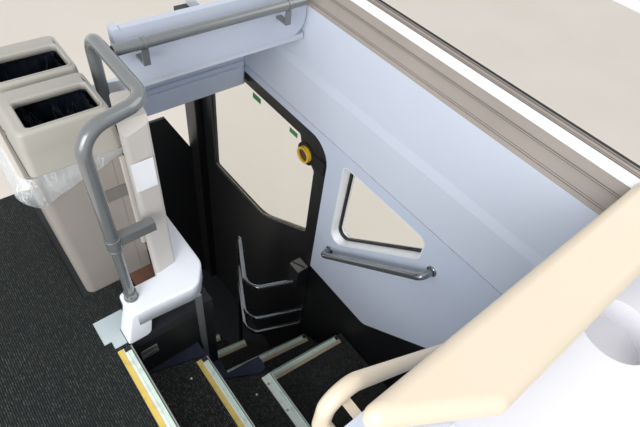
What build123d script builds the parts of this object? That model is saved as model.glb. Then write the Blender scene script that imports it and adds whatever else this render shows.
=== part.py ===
from build123d import *
import math
import os

# Stairwell section of a double-decker coach.
# X runs from the coach's centreline to the side wall on the door side, Y runs forward.
# Heights are taken from the upper floor's top and moved up when a piece is written,
# so that the section stands on the underside of the lower floor.

# Floors and steps
riser = 235
level_count = 8
deck_rise = riser * level_count
floor_t = 40
floor_left = -326
section_front = 2090
shell_t = 12
panel_t = 18
carpet_t = 5

# Upper flight: three nosings across the coach, each with its far end at the cheek
first_nosing_x = 82
upper_tread = 208
upper_levels = 3
cheek_y = [773, 714, 611]
cheek_h = 10
cheek_r = 28

# Lower flight: each nosing as (y at the left panel, x at its right end, y at its right end)
flight_left = 362
lower_nosings = [
    (703, 926, 650),
    (906, 893, 827),
    (1137, 684, 1081),
    (1378, 640, 1298),
    (1610, 610, 1512),
]

# Corner post on the well's panel
post_left = 303
post_w = 20
post_d = 10

# Step nosings
nosing_w = 41
nosing_t = 3
nosing_drop = 26
yellow_w = 15
glow_w = 11
glow_in = 4
strip_t = 1.5

# Side wall
lining_x = 949
lining_t = 5
skin_x = 1012
skin_t = 12
seam_z = 299
seam_gap = 3
crease_z = 470
crease_h = 34
crease_step = 5
lining_top_z = 702
lining_top_out = 8
seal_z = 809
sill_t = 6
seal_h = 6
lining_low_z = -468
lining_low_y = 554
lining_rise_slope = 0.88

# Door and its frame
door_rear = 927
door_top = 265
door_corner_r = 100
frame_w = 34
leaf_gap = 6
leaf_t = 30
leaf_front = 1975
glass_t = 6
glass_rear = 1040
glass_front = 1873
glass_top = 156
glass_notch = [(1040, 34), (1132, 108), (1146, 156)]
glass_low_rear = -365
glass_low_mid = (1390, -590)
glass_low_front = -606
valve_y = 1045
valve_z = 151
valve_r = 35
valve_base = 6
valve_h = 16

# Quarter window
quarter_front = 844
quarter_rear = 436
quarter_top = 250
quarter_slope = 0.877
quarter_low = -207
quarter_r = 42
flange_t = 4
quarter_glass_x = 992
seal_t = 7

# Grab handle on the side wall, as (y, z) of its two ends
handle_ends = [(836, -240), (368, 164)]

# Rear partition, its cap and the tray behind it
wall_left = 60
parapet_left = 177
parapet_turn = 30
partition_y = 88
partition_t = 84
cap_z = 800
cap_h = 34
cap_rear = -32
cap_r = 22
cap_end_r = 20
cap_far_r = 16
tray_left = 380
tray_depth = 198
tray_z = 655
tray_h = 90
tray_wall = 6
cup_x = 776
cup_y = -74
cup_r = 71
cup_depth = 62

# Guard beside the step well: each hoop's height and radius, and their plan from the post to the door's frame
guard_hoops = [(-600, 13), (-900, 12), (-1050, 12)]
guard_plan = [(836, 1373), (676, 1050), (lining_x + 10, 940)]
guard_bend = 70

# Cover of the door's hinge column, and the panel that closes the step well ahead of the door
cover_box = [(884, 949), (934, 1006), (-640, -492)]
cover_r = 22
closing_t = 18
closing_top = [(817, -327), (986, -683)]

# Front partition, headroom soffit and beam
front_y = 1128
front_low = 611
front_top = 775
front_t = 22
front_r = 62
lip_h = 18
beam_y = 1464
beam_depth = 96
beam_low = 215
beam_top = 351
beam_end = 18
beam_gap = 2
ledge_y = [0, 9, 22]
ledge_z = [88, 105]
soffit_t = 12

# Rails
rail_z = 752
rail_r = 14
loop_r = 17
pole_x = 139
pole_y = 833
pole_joint_z = 419
loop_corner = (303, 874)
loop_end_y = 1191
partition_rail_y = 1081
partition_rail_end = 905
bracket_x = [398, 842]

# Corner moulding over the well's edge
plinth_z = 141
plinth_t = 6
lip_z = 75
plinth_left = 111
plinth_leg = 164
plinth_right = 367
foot_left = 79
foot_right = 156
foot_r = 9
foot_d = 60
plinth_front = 759
plinth_rear = 1128

# Bare metal plate let into the carpet beside the moulding, as (left, front, rear) rows
plate_rows = [(20, 812, 900), (41, 784, 812)]
plate_y = 838
plate_gap = 2
plate_t = 3

# Litter bins
bin_left = 36
bin_right = 262
bin_front = 1006
bin_seam_x = 232
bin_pitch = 200
bin_h = 530
bin_wall = 5
bin_foot_in = 16
bin_r = 26
cell_r = 12
hood_top = 658
hood_lean = 4
hood_wall = 5
hood_left = 42
hood_right = 270
hood_over = 3
hood_r = 16
hood_top_r = 6
hood_gap = 6
mouth = (171, 109)
mouth_x = 161.5
mouth_y = 77
film_t = 2
film_drop = 84
seat_gap = 0.3
column_front = [(228, 863), (301, 874)]
column_back = [(318, 985), (262, 994)]
column_top = 706
column_r = 12
scoop_h = 36
scoop_d = 24
patch_left = 185
patch_front = 945
patch_t = 8
strap_t = 4
strap_z = [(bin_h - 169, bin_h - 125), (161, 190)]

front_end = beam_y + beam_depth
partition_rear = partition_y - partition_t
section_rear = partition_rear - tray_depth
slant = 1 / math.tan(math.radians(parapet_turn))
sill_rise = math.atan2(seal_z - lining_top_z, skin_x + skin_t - lining_x - lining_top_out)
skin_top = seal_z - skin_t * math.tan(sill_rise) - sill_t / math.cos(sill_rise)
shift = Pos(-(floor_left + skin_x + skin_t) / 2, -(section_rear + section_front) / 2, deck_rise + floor_t)


def save(node, shape):
    """Writes one piece, moved to stand on the floor's underside."""
    solids = shape.solids()
    body = solids[0] if len(solids) == 1 else Compound(children=list(solids))
    export_step(shift * body, f"parts/{node}.step")


def block(x0, x1, y0, y1, z0, z1):
    return Pos((x0 + x1) / 2, (y0 + y1) / 2, (z0 + z1) / 2) * Box(x1 - x0, y1 - y0, z1 - z0)


def plan(points):
    return make_face(Polyline(*points, close=True))


def prism(points, z0, z1):
    """A plan outline raised from z0 to z1."""
    return extrude(Pos(0, 0, z0) * plan(points), z1 - z0)


def side(points):
    """An outline of (y, z) points as a face that looks along X."""
    return Plane.YZ * make_face(Polyline(*points, close=True))


def slab(face, x0, x1):
    """A face in the YZ plane thickened from x0 to x1."""
    return Pos(x0, 0, 0) * extrude(face, x1 - x0, dir=(1, 0, 0))


def rounded_side(corners):
    """An outline of (y, z, corner radius) rows in the YZ plane."""
    face = make_face(Polyline(*[(y, z) for y, z, r in corners], close=True))
    for y, z, r in corners:
        if r:
            at = [v for v in face.vertices() if math.hypot(v.X - y, v.Y - z) < 1]
            face = fillet(at, r)
    return Plane.YZ * face


def rounded_plan(corners):
    """An outline of (x, y, corner radius) rows in plan."""
    face = make_face(Polyline(*[(x, y) for x, y, r in corners], close=True))
    for x, y, r in corners:
        if r:
            at = [v for v in face.vertices() if math.hypot(v.X - x, v.Y - y) < 1]
            face = fillet(at, r)
    return face


def rod(start, end, r):
    """A solid round bar between two points."""
    a = Vector(*start)
    b = Vector(*end)
    return extrude(Plane(origin=a, z_dir=b - a) * Circle(r), (b - a).length)


def tube(points, r, bend):
    """A round bar along straight runs with an even bend at each corner between them."""
    corners = [Vector(*p) for p in points]
    start = corners[0]
    body = None
    for before, at, after in zip(corners, corners[1:], corners[2:]):
        u = (at - before).normalized()
        v = (after - at).normalized()
        turn = u.get_angle(v)
        back = bend * math.tan(math.radians(turn / 2))
        end = at - u * back
        run = rod(start, end, r)
        n = u.cross(v).normalized()
        elbow = revolve(Plane(origin=end, z_dir=u) * Circle(r), Axis(end + n.cross(u) * bend, n), turn)
        body = run + elbow if body is None else body + run + elbow
        start = at + v * back
    return body + rod(start, corners[-1], r)


# Steps
nosing_x = [first_nosing_x + i * upper_tread for i in range(upper_levels)]
step_end_x = nosing_x[-1]


def lower_y(row, x):
    """Where a lower nosing crosses the line at x."""
    left_y, right_x, right_y = row
    return left_y + (right_y - left_y) * (x - flight_left) / (right_x - flight_left)


def upper_regions():
    """The two treads of the upper flight, as (plan points, level)."""
    rows = []
    for i in range(upper_levels - 1):
        x0, x1 = nosing_x[i], nosing_x[i + 1]
        rows.append(([(x0, partition_y), (x1, partition_y), (x1, cheek_y[i + 1]), (x0, cheek_y[i])], i + 1))
    return rows


def lower_regions():
    """The landing and the treads below it, as (plan points, level)."""
    first = lower_nosings[0]
    landing = [
        (step_end_x, partition_y),
        (lining_x, partition_y),
        (lining_x, lower_y(first, lining_x)),
        (step_end_x, lower_y(first, step_end_x)),
    ]
    rows = [(landing, upper_levels)]
    for i, (here, after) in enumerate(zip(lower_nosings, lower_nosings[1:])):
        left = flight_left
        right_x = lining_x if i == 0 else here[1]
        points = [
            (left, lower_y(here, left)),
            (right_x, lower_y(here, right_x)),
            (after[1], after[2]),
            (left, lower_y(after, left)),
        ]
        rows.append((points, upper_levels + 1 + i))
    return rows


def stepped_shell(rows):
    """Treads, risers and outer walls down to the lower floor, open underneath."""
    outer = None
    inner = None
    footprint = None
    for points, level in rows:
        face = plan(points)
        footprint = face if footprint is None else footprint + face
        top = -level * riser
        raised = extrude(Pos(0, 0, -deck_rise) * footprint, top + deck_rise)
        small = offset(footprint, amount=-shell_t, kind=Kind.INTERSECTION)
        cut = extrude(Pos(0, 0, -deck_rise) * small, top + deck_rise - shell_t)
        outer = raised if outer is None else outer + raised
        inner = cut if inner is None else inner + cut
    return outer - inner


def nosing_rows():
    """Each nosing as (right end, left end, level), seen when going down."""
    rows = []
    for i in range(upper_levels):
        rows.append(((nosing_x[i], partition_y + 2), (nosing_x[i], cheek_y[i] - 2), i))
    for i, row in enumerate(lower_nosings):
        left = step_end_x + 4 if i == 0 else flight_left + 12
        rows.append(((left, lower_y(row, left)), (row[1] - 4, lower_y(row, row[1] - 4)), upper_levels + i))
    return rows


def along(a, b, y0, y1, z0, z1):
    """A bar from a to b in plan; y is measured to the left of that line."""
    length = math.hypot(b[0] - a[0], b[1] - a[1])
    turn = math.degrees(math.atan2(b[1] - a[1], b[0] - a[0]))
    return Pos(a[0], a[1], 0) * Rot(0, 0, turn) * block(0, length, y0, y1, z0, z1)


def back_side(a, level):
    """Which side of a nosing line is the tread: left of it on the upper flight, right below it."""
    return 1 if level < upper_levels else -1


def build_steps():
    save("upper_flight", stepped_shell(upper_regions()))
    save("lower_flight", stepped_shell(lower_regions()))
    profiles = []
    yellow = []
    glow = []
    covers = []
    for a, b, level in nosing_rows():
        z = -level * riser
        s = back_side(a, level)
        flat = along(a, b, *sorted((0, s * nosing_w)), z, z + nosing_t)
        drop = along(a, b, *sorted((0, -s * nosing_t)), z - nosing_drop, z + nosing_t)
        profiles.append(flat + drop)
        low = z + nosing_t
        yellow.append(along(a, b, *sorted((s * (nosing_w - yellow_w - 1), s * (nosing_w - 1))), low, low + strip_t))
        glow.append(along(a, b, *sorted((s * glow_in, s * (glow_in + glow_w))), low, low + strip_t))
        covers.append(along(a, b, *sorted((-s * 8, s * (nosing_w + 1))), z - 1, z + 20))
    save("nosing_profiles", Compound(children=profiles))
    save("nosing_yellow_strips", Compound(children=yellow))
    save("nosing_glow_strips", Compound(children=glow))
    carpets = []
    for points, level in upper_regions() + lower_regions():
        z = -level * riser
        face = offset(plan(points), amount=-2, kind=Kind.INTERSECTION)
        piece = extrude(Pos(0, 0, z) * face, carpet_t)
        for cover in covers:
            piece = piece - cover
        carpets.append(piece.solids().sort_by(SortBy.VOLUME)[-1])
    save("tread_carpets", Compound(children=carpets))


def build_cheeks():
    """The navy cheeks that close the steps' far ends."""
    upper = prism([(nosing_x[0], cheek_y[0]), (nosing_x[1], cheek_y[1]), (nosing_x[1], cheek_y[0])],
                  -riser, -riser + cheek_h)
    first = lower_nosings[0]
    corners = [
        (nosing_x[1], cheek_y[1], 0),
        (step_end_x, cheek_y[2], cheek_r),
        (step_end_x, lower_y(first, step_end_x), 0),
        (flight_left, lower_y(first, flight_left), 0),
        (flight_left, cheek_y[0], 0),
        (nosing_x[1], cheek_y[0], 0),
    ]
    face = rounded_plan(corners)
    low = -(upper_levels + 1) * riser
    lower = extrude(Pos(0, 0, low) * face, -2 * riser + cheek_h - low)
    save("stair_cheeks", Compound(children=[upper, lower]))


def build_floors():
    save("lower_floor", block(floor_left, skin_x, section_rear, section_front, -deck_rise - floor_t, -deck_rise))
    edge = first_nosing_x
    floor = prism([(floor_left, section_rear), (lining_x, section_rear), (lining_x, partition_rear),
                   (parapet_x(partition_rear), partition_rear), (parapet_left, partition_y),
                   (edge, partition_y), (edge, cheek_y[0]),
                   (flight_left, cheek_y[0]), (flight_left, front_end),
                   (floor_left, front_end)], -floor_t, 0)
    save("upper_floor", floor)
    cover_back = first_nosing_x - nosing_w - 1
    carpet = prism([(floor_left + 2, section_rear + 2), (lining_x - 2, section_rear + 2),
                    (lining_x - 2, partition_rear - 2), (parapet_x(partition_rear), partition_rear - 2),
                    (parapet_left - 4, partition_y), (cover_back, partition_y),
                    (cover_back, cheek_y[0]), (plinth_left - 2, cheek_y[0]),
                    (plinth_left - 2, column_front[0][1] + 3), (patch_left - 2, column_front[0][1] + 3),
                    (patch_left - 2, bin_front - 3),
                    (bin_left - 4, bin_front - 3), (bin_left - 4, front_end - 2),
                    (floor_left + 2, front_end - 2)], 0, carpet_t)
    for x, y0, y1 in plate_rows:
        carpet = carpet - block(x - plate_gap, plinth_left, y0 - plate_gap, y1 + plate_gap, -1, 20)
    carpet = carpet - block(foot_left - 2, plinth_left, cheek_y[0] - 1, cheek_y[0] + foot_d + 2, -1, 20)
    save("upper_carpet", carpet.solids().sort_by(SortBy.VOLUME)[-1])
    plates = [block(x, foot_left - 1, y0, y1, 0, plate_t) for x, y0, y1 in plate_rows]
    plates.append(block(plate_rows[0][0], plinth_left - 1, plate_y, plate_rows[0][2], 0, plate_t))
    save("floor_plate", plates[0] + plates[1] + plates[2])
    beams = []
    for y, right in ((section_rear + 60, lining_x), (bin_front - 40, flight_left - panel_t),
                     (front_end - 60, flight_left - panel_t)):
        outer = block(floor_left, right, y - 25, y + 25, -floor_t - 50, -floor_t)
        beams.append(outer - block(floor_left - 1, right + 1, y - 22, y + 22, -floor_t - 47, -floor_t - 3))
    save("floor_beams", Compound(children=beams))


def build_well_panels():
    """Upright panels under the upper floor, around the steps."""
    end = block(first_nosing_x - panel_t, first_nosing_x, partition_y, cheek_y[0], -deck_rise, -floor_t)
    save("stair_end_panel", end)
    low = block(first_nosing_x - panel_t, flight_left, cheek_y[0], cheek_y[0] + panel_t, -deck_rise, -floor_t)
    save("well_side_panel", low)
    side_panel = block(flight_left - panel_t, flight_left, cheek_y[0] + panel_t, front_end,
                       -deck_rise, -floor_t)
    save("flight_side_panel", side_panel)
    post = block(post_left, post_left + post_w, cheek_y[0] - post_d, cheek_y[0], -2 * riser + cheek_h, lip_z)
    save("corner_post", post)


def lining_edge(y):
    """Height of the lining's lower edge at one place along the wall."""
    return lining_low_z + max(0, lining_low_y - y) * lining_rise_slope


def quarter_outline():
    """The quarter window's opening, a triangle with its sharp ends rounded off."""
    span = quarter_front - quarter_rear
    rear_low = quarter_low + span * quarter_slope
    return [
        (quarter_front, quarter_top, quarter_r * 0.6),
        (quarter_rear, quarter_top, quarter_r * 0.8),
        (quarter_rear, rear_low, quarter_r * 0.8),
        (quarter_front, quarter_low, quarter_r),
    ]


def build_linings():
    lower = [
        (section_rear, lining_edge(section_rear), 0),
        (lining_low_y, lining_low_z, 60),
        (door_rear, lining_low_z, 0),
        (door_rear, door_top, door_corner_r),
        (front_end, door_top, 0),
        (front_end, seam_z, 0),
        (section_rear, seam_z, 0),
    ]
    panel = slab(rounded_side(lower), lining_x, lining_x + lining_t)
    panel = panel - slab(rounded_side(quarter_outline()), lining_x - 1, lining_x + lining_t + 1)
    save("side_lining_lower", panel)
    z0 = seam_z + seam_gap
    out = lining_top_out
    profile = [
        (lining_x, z0),
        (lining_x, crease_z),
        (lining_x + crease_step, crease_z + crease_h),
        (lining_x + out, lining_top_z),
        (lining_x + out + lining_t, lining_top_z),
        (lining_x + crease_step + lining_t, crease_z + crease_h),
        (lining_x + lining_t, crease_z),
        (lining_x + lining_t, z0),
    ]
    face = Plane.XZ * make_face(Polyline(*profile, close=True))
    upper = extrude(Pos(0, section_rear, 0) * face, front_end - section_rear, dir=(0, 1, 0))
    save("side_lining_upper", upper)
    panel_edge = [
        (section_rear, -deck_rise),
        (door_rear, -deck_rise),
        (door_rear, lining_low_z + 40),
        (lining_low_y, lining_low_z + 40),
        (section_rear, lining_edge(section_rear) + 40),
    ]
    save("lower_side_panel", slab(side(panel_edge), lining_x + lining_t, lining_x + lining_t + panel_t))


def build_sill():
    """The stepped rail under the upper window, from the lining's top out to the glass seal."""
    low = (lining_x + lining_top_out, lining_top_z)
    length = math.hypot(skin_x + skin_t - low[0], seal_z - low[1])
    turn = math.degrees(sill_rise)
    t = sill_t
    base = Polyline((t / math.tan(sill_rise), -t), (0, 0), (0.40 * length, 0), (0.40 * length, 4), (0.44 * length, 4),
                    (0.44 * length, 0), (0.64 * length, 0), (0.64 * length, -t), close=True)
    white = Polyline((0.64 * length, -t), (0.64 * length, 3), (0.83 * length, 3), (0.83 * length, -t), close=True)
    outer = Polyline((0.83 * length, -t), (0.83 * length, 0), (0.89 * length, 0), (0.89 * length, 3),
                     (0.92 * length, 3), (0.92 * length, 0), (length, 0),
                     (length - t * math.tan(sill_rise), -t), close=True)
    seal = Polyline((0.96 * length, 0), (0.96 * length, seal_h), (length, seal_h), (length, 0), close=True)
    place = Plane.XZ * Pos(low[0], low[1]) * Rot(0, 0, turn)

    def run(wire):
        return extrude(Pos(0, section_rear, 0) * (place * make_face(wire)), front_end - section_rear, dir=(0, 1, 0))

    save("window_sill", Compound(children=[run(base), run(outer)]))
    save("sill_white_strip", run(white))
    save("window_seal", run(seal))


def build_skin():
    x0, x1 = skin_x, skin_x + skin_t
    step_z = door_top + 60
    outline = slab(side([(section_rear, -deck_rise - floor_t), (section_front, -deck_rise - floor_t),
                         (section_front, step_z), (front_end, step_z), (front_end, skin_top),
                         (section_rear, skin_top)]), x0, x1)
    opening = rounded_side([
        (door_rear + frame_w, -deck_rise, 0),
        (door_rear + frame_w, door_top - frame_w, door_corner_r - frame_w),
        (leaf_front, door_top - frame_w, 30),
        (leaf_front, -deck_rise, 0),
    ])
    outline = outline - slab(opening, x0 - 1, x1 + 1)
    outline = outline - slab(rounded_side(quarter_outline()), x0 - 1, x1 + 1)
    save("body_skin", outline)


def glass_outline():
    """The door glass, with a corner cut off behind the valve and its lower edge swept up towards the steps."""
    mid_y, mid_z = glass_low_mid
    return rounded_side([
        (glass_rear, glass_low_rear, 34),
        (glass_rear, glass_notch[0][1], 16),
        (*glass_notch[1], 20),
        (glass_notch[2][0], glass_top, 12),
        (glass_front, glass_top, 20),
        (glass_front, glass_low_front, 20),
        (mid_y, mid_z, 260),
    ])


def build_door():
    frame = rounded_side([
        (door_rear, -deck_rise, 0),
        (door_rear, door_top, door_corner_r),
        (section_front, door_top, 0),
        (section_front, -deck_rise, 0),
    ])
    hole = rounded_side([
        (door_rear + frame_w, -deck_rise - 1, 0),
        (door_rear + frame_w, door_top - frame_w, door_corner_r - frame_w),
        (leaf_front, door_top - frame_w, 30),
        (leaf_front, -deck_rise - 1, 0),
    ])
    save("door_frame", slab(frame, lining_x, skin_x) - slab(hole, lining_x - 1, skin_x + 1))
    inside = rounded_side([
        (door_rear + frame_w, -deck_rise, 0),
        (door_rear + frame_w, door_top - frame_w, door_corner_r - frame_w),
        (leaf_front, door_top - frame_w, 30),
        (leaf_front, -deck_rise, 0),
    ])
    leaf = rounded_side([
        (door_rear + frame_w + leaf_gap, -deck_rise + leaf_gap, 12),
        (door_rear + frame_w + leaf_gap, door_top - frame_w - leaf_gap, door_corner_r - frame_w),
        (leaf_front - leaf_gap, door_top - frame_w - leaf_gap, 24),
        (leaf_front - leaf_gap, -deck_rise + leaf_gap, 12),
    ])
    x0 = skin_x + skin_t - leaf_t
    body = slab(leaf, x0, x0 + leaf_t) - slab(glass_outline(), x0 - 1, x0 + leaf_t + 1)
    save("door_leaf", body)
    save("door_seal", slab(inside, x0 + 4, skin_x) - slab(leaf, x0 + 3, skin_x + 1))
    save("door_glass", slab(glass_outline(), x0 + 8, x0 + 8 + glass_t))


def build_valve():
    """The door's emergency valve, on its own bracket at the frame's corner."""
    face = Plane(origin=(lining_x, valve_y, valve_z), z_dir=(-1, 0, 0))
    plate = extrude(face * Circle(valve_r + 14), valve_base)
    arm = block(lining_x - valve_base, lining_x, door_rear + 8, valve_y, valve_z - 30, valve_z + 30)
    save("valve_bracket", plate + arm)
    up = Plane(origin=(lining_x - valve_base, valve_y, valve_z), z_dir=(-1, 0, 0))
    save("valve_ring", extrude(up * (Circle(valve_r) - Circle(valve_r - 9)), valve_h))
    save("valve_body", extrude(up * Circle(valve_r - 9 - seat_gap), valve_h - 6))


def build_quarter_window():
    outer = rounded_side(quarter_outline())
    inner = offset(outer, amount=-flange_t, kind=Kind.ARC)
    save("quarter_window_frame", slab(outer, lining_x, skin_x) - slab(inner, lining_x - 1, skin_x + 1))
    hole = offset(outer, amount=-flange_t - seal_t, kind=Kind.ARC)
    save("quarter_window_seal", slab(inner, quarter_glass_x - 4, quarter_glass_x + glass_t + 4)
         - slab(hole, quarter_glass_x - 5, quarter_glass_x + glass_t + 5))
    save("quarter_window_glass", slab(hole, quarter_glass_x, quarter_glass_x + glass_t))


def build_wall_handle():
    """The sloping grab handle under the quarter window, on two stand-off posts."""
    stand = 46
    x = lining_x - stand
    low = Vector(x, *handle_ends[0])
    high = Vector(x, *handle_ends[1])
    d = (high - low).normalized()
    a = low + d * 40
    b = high - d * 40
    grip = rod(low, high, 12)
    grip = chamfer(grip.edges().filter_by(GeomType.CIRCLE), 4)
    for foot in (a, b):
        grip = grip + rod(foot, (lining_x, foot.Y, foot.Z), 10)
    save("wall_grab_handle", grip)


def parapet_x(y):
    """Where the parapet's slanted end crosses the line at y."""
    return parapet_left + (partition_y - y) * slant


def build_rear_partition():
    rear = partition_rear
    low = -floor_t
    wall = block(wall_left, lining_x, rear, partition_y, -deck_rise, low)
    room = block(wall_left + shell_t, lining_x - shell_t, rear + shell_t, partition_y - shell_t,
                 -deck_rise - 1, low - shell_t)
    parapet = prism([(parapet_x(rear), rear), (lining_x, rear), (lining_x, partition_y),
                     (parapet_left, partition_y)], low, cap_z - cap_h)
    save("rear_partition", wall - room + parapet)
    corners = [
        (parapet_x(cap_rear) + 6, cap_rear, cap_end_r),
        (skin_x + skin_t, cap_rear, 0),
        (skin_x + skin_t, partition_y, 0),
        (parapet_left + 6, partition_y, cap_far_r),
    ]
    cap = extrude(Pos(0, 0, cap_z - cap_h) * rounded_plan(corners), cap_h)
    edges = [e for e in cap.edges().group_by(Axis.Z)[-1] if e.center().Y < partition_y - 1]
    cap = fillet([e for e in edges if e.center().X < skin_x], cap_r)
    slope = math.tan(sill_rise)
    low_z, high_z = cap_z - cap_h - 1, cap_z + 1
    foot = lining_x + lining_top_out + (low_z - lining_top_z) / slope - (seal_h + seat_gap) / math.sin(sill_rise)
    under = Plane.XZ * plan([(foot, low_z), (foot + (high_z - low_z) / slope, high_z),
                             (skin_x + skin_t + 1, high_z), (skin_x + skin_t + 1, low_z)])
    save("partition_cap", cap - extrude(Pos(0, cap_rear - 1, 0) * under, partition_y - cap_rear + 2, dir=(0, 1, 0)))
    tray = block(tray_left, lining_x, section_rear, rear, tray_z - tray_h, tray_z)
    tray = fillet(tray.edges().filter_by(Axis.Z).group_by(Axis.Y)[0], 40)
    tray = tray - block(tray_left + tray_wall, lining_x - tray_wall, section_rear + tray_wall, rear - tray_wall,
                        tray_z - tray_h - 1, tray_z - tray_wall - cup_depth)
    tray = tray - Pos(cup_x, cup_y, tray_z - cup_depth) * Cylinder(
        cup_r, cup_depth + 1, align=(Align.CENTER, Align.CENTER, Align.MIN))
    save("rear_tray", tray)


def build_partition_rail():
    """The stair handrail on the rear partition, parallel with the upper flight."""
    y = partition_y + 44
    top = (216, y, 782)
    low = (780, y, 262)
    rail = tube([(top[0], y, 640), top, low], rail_r, 34)
    rail = rail + rod((top[0], y - rail_r + 2, 660), (top[0], partition_y, 660), 10)
    slope = (low[2] - top[2]) / (low[0] - top[0])
    for x in (244, 520, 740):
        z = top[2] + slope * (x - top[0]) - 26
        stem = block(x - 7, x + 7, y - 7, y + 7, z - 20, z + 12)
        arm = block(x - 6, x + 6, partition_y, y - 7, z - 18, z - 6)
        rail = rail + stem + arm
    save("partition_grab_rail", rail)


def build_front():
    """The front partition, the soffit over the lower steps and the beam at its foot."""
    y1 = front_y + front_t
    left = flight_left
    right = lining_x
    corners = [(left, front_low, 0), (right, front_low, front_r), (right, front_top, 10), (left, front_top, 10)]
    face = make_face(Polyline(*[(x, z) for x, z, r in corners], close=True))
    for x, z, r in corners:
        if r:
            at = [v for v in face.vertices() if math.hypot(v.X - x, v.Y - z) < 1]
            face = fillet(at, r)
    panel = extrude(Plane(origin=(0, y1, 0), x_dir=(1, 0, 0), z_dir=(0, -1, 0)) * face, front_t)
    save("front_partition", panel)
    lip = block(left, right, front_y + 4, y1, front_low - lip_h, front_low)
    d_y = beam_y + ledge_y[2] + soffit_t - y1
    low_z = beam_top
    top_z = front_low - lip_h
    soffit = slab(side([(y1, top_z), (y1, top_z + 40), (y1 + 14, top_z + 40),
                        (y1 + 14, top_z + 6), (y1 + d_y, low_z + soffit_t), (y1 + d_y, low_z)]), left, right)
    save("headroom_soffit", soffit + lip)
    z0, z1, z2, z3 = beam_low, beam_low + ledge_z[0], beam_low + ledge_z[1], beam_top
    y = beam_y
    profile = [(y, z0, 12), (y, z1, 6), (y + ledge_y[1], z1, 0), (y + ledge_y[1], z2, 4),
               (y + ledge_y[2], z2, 0), (y + ledge_y[2], z3, 4), (y + beam_depth, z3, 0), (y + beam_depth, z0, 8)]
    beam = slab(rounded_side(profile), left, right - beam_gap)
    for x, s in ((left, 1), (right - beam_gap, -1)):
        corner = [(x - s, y - 1), (x + s * beam_end, y - 1), (x - s, y + beam_end)]
        beam = beam - prism(corner, z0 - 1, z3 + 1)
    save("front_beam", beam)
    cheek = slab(side([(front_y, 0), (front_end, 0), (front_end, beam_top),
                       (y1 + 14, front_low), (y1 + 14, front_top), (front_y, front_top)]), left - panel_t, left)
    save("headroom_cheek", cheek)


def build_plinth():
    """The white moulding over the corner of the well, with one leg down to the floor."""
    corners = [
        (plinth_left, cheek_y[0], 10),
        (plinth_leg, cheek_y[0] - 8, 0),
        (plinth_right - 50, plinth_front, 44),
        (plinth_right, cheek_y[0] + 58, 60),
        (plinth_right, plinth_rear, 0),
        (bin_right + 4, plinth_rear, 0),
        (bin_right + 4, column_back[1][1], 0),
        (column_front[0][0], column_front[0][1] + 1, 0),
        (plinth_left, column_front[0][1] + 1, 14),
    ]
    face = rounded_plan(corners)
    top = extrude(Pos(0, 0, lip_z) * face, plinth_z - lip_z)
    top = chamfer(top.edges().group_by(Axis.Z)[-1], 4)
    small = offset(plan([(x, y) for x, y, r in corners]), amount=-plinth_t, kind=Kind.INTERSECTION)
    shell = top - extrude(Pos(0, 0, lip_z - 1) * small, plinth_z - lip_z - plinth_t + 1)
    foot = [(foot_left, foot_r), (foot_left + foot_r, 0), (foot_right - foot_r, 0), (foot_right, foot_r),
            (plinth_leg, lip_z), (plinth_leg, plinth_z - plinth_t), (plinth_left, plinth_z - plinth_t)]
    leg = extrude(Pos(0, cheek_y[0], 0) * (Plane.XZ * plan(foot)), foot_d, dir=(0, 1, 0))
    save("corner_moulding", shell + leg)


def build_poles():
    bend = 62
    x1, y1 = loop_corner
    loop = tube([(pole_x, pole_y, pole_joint_z), (pole_x, pole_y, rail_z), (x1, y1, rail_z),
                 (x1, loop_end_y, rail_z), (x1, loop_end_y, 0)], loop_r, bend)
    save("loop_rail", loop)
    low = rod((pole_x, pole_y, plinth_z), (pole_x, pole_y, pole_joint_z), rail_r)
    collar = rod((pole_x, pole_y, pole_joint_z - 46), (pole_x, pole_y, pole_joint_z), loop_r + 2)
    arm = block(pole_x, 250, pole_y - 10, pole_y + 16, pole_joint_z - 32, pole_joint_z - 2)
    foot = rod((pole_x, pole_y, plinth_z), (pole_x, pole_y, plinth_z + 30), rail_r + 4)
    save("pole_lower_part", low + collar + arm + foot)
    rail = rod((x1 + loop_r, partition_rail_y, rail_z), (partition_rail_end, partition_rail_y, rail_z), rail_r)
    rail = chamfer(rail.edges().filter_by(GeomType.CIRCLE).sort_by(Axis.X)[-1], 5)
    for x in bracket_x:
        ring = rod((x - 5, partition_rail_y, rail_z), (x + 5, partition_rail_y, rail_z), rail_r + 2)
        ring = ring - rod((x - 6, partition_rail_y, rail_z), (x + 6, partition_rail_y, rail_z), rail_r)
        tab = block(x - 9, x + 9, partition_rail_y - 3, partition_rail_y + 3, rail_z - 62, rail_z - rail_r)
        foot = block(x - 9, x + 9, partition_rail_y - 3, front_y, rail_z - 62, rail_z - 54)
        rail = rail + ring + tab + foot
    save("partition_rail", rail)
    (post_x, post_y), (turn_x, turn_y), (end_x, end_y) = guard_plan
    guard = None
    for z, r in guard_hoops:
        run = [(end_x, end_y, z), (turn_x, turn_y, z), (post_x, post_y, z)]
        if guard is None:
            run.append((post_x, post_y, -deck_rise))
        hoop = tube(run, r, guard_bend)
        guard = hoop if guard is None else guard + hoop
    cover = block(cover_box[0][0], end_x + 60, end_y - 60, end_y + 60, *cover_box[2])
    frame = block(lining_x, end_x + 60, end_y - 60, end_y + 60, -deck_rise, 0)
    save("door_guard_rail", guard - cover - frame)


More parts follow.
